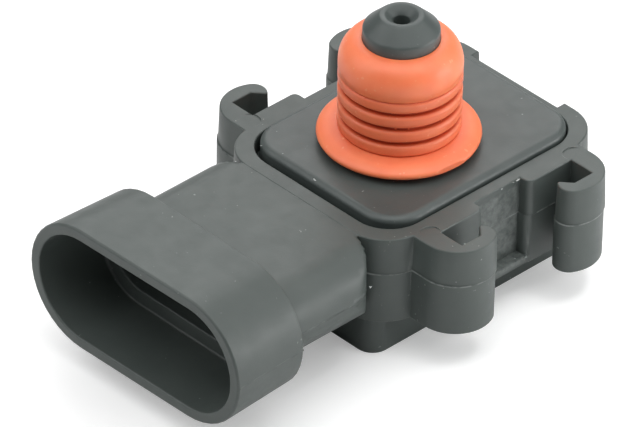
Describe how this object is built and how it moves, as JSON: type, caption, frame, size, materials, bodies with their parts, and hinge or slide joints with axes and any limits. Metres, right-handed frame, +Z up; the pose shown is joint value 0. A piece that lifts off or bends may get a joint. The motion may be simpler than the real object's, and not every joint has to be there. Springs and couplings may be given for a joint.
{
  "type": "manifold absolute pressure sensor",
  "caption": "Engine intake pressure sensor: dark plastic body with an oval plug socket, clip hooks and a port with an orange ribbed seal.",
  "frame": {"origin": "on the resting face of the lower box, straight under the axis of the port", "axes": "+Z up along the port axis, the plug socket opens towards -X, the clip hooks stand out along +Y and -Y"},
  "size_m": [0.0513, 0.0352, 0.0286],
  "materials": {
    "housing_plastic": "dark glass-filled plastic with a faint sheen",
    "cover_plastic": "dark glass-filled plastic, slightly smoother",
    "orange_silicone": "orange silicone rubber, satin",
    "dark_adhesive": "cured silicone adhesive",
    "tinned_brass": "tin-plated strip",
    "green_sealant": "soft sealant",
    "alumina": "matt white alumina",
    "pale_adhesive": "cured silicone adhesive",
    "pedestal_glass": "ground glass",
    "silicon": "polished silicon",
    "black_polymer": "moulded ring",
    "clear_gel": "soft clear gel",
    "chip_resin": "glossy black resin",
    "capacitor_body": "sintered ceramic with tinned ends",
    "resistor_body": "black glaze with tinned ends",
    "aluminium_wire": "drawn wire"
  },
  "bodies": {
    "root": {"housing": "housing_plastic", "port_cover": "cover_plastic", "port_seal": "orange_silicone", "cover_adhesive": "dark_adhesive", "terminal_supply": "tinned_brass", "terminal_signal": "tinned_brass", "terminal_ground": "tinned_brass", "terminal_sealant": "green_sealant", "ceramic_substrate": "alumina", "substrate_adhesive": "pale_adhesive", "die_adhesive": "pale_adhesive", "glass_pedestal": "pedestal_glass", "pressure_die": "silicon", "gel_ring": "black_polymer", "protective_gel": "clear_gel", "signal_chip": "silicon", "chip_encapsulant": "chip_resin", "supply_capacitor": "capacitor_body", "output_capacitor": "capacitor_body", "filter_capacitor": "capacitor_body", "load_resistor": "resistor_body", "trim_resistor": "resistor_body", "terminal_wires": "aluminium_wire"}
  },
  "joints": []
}
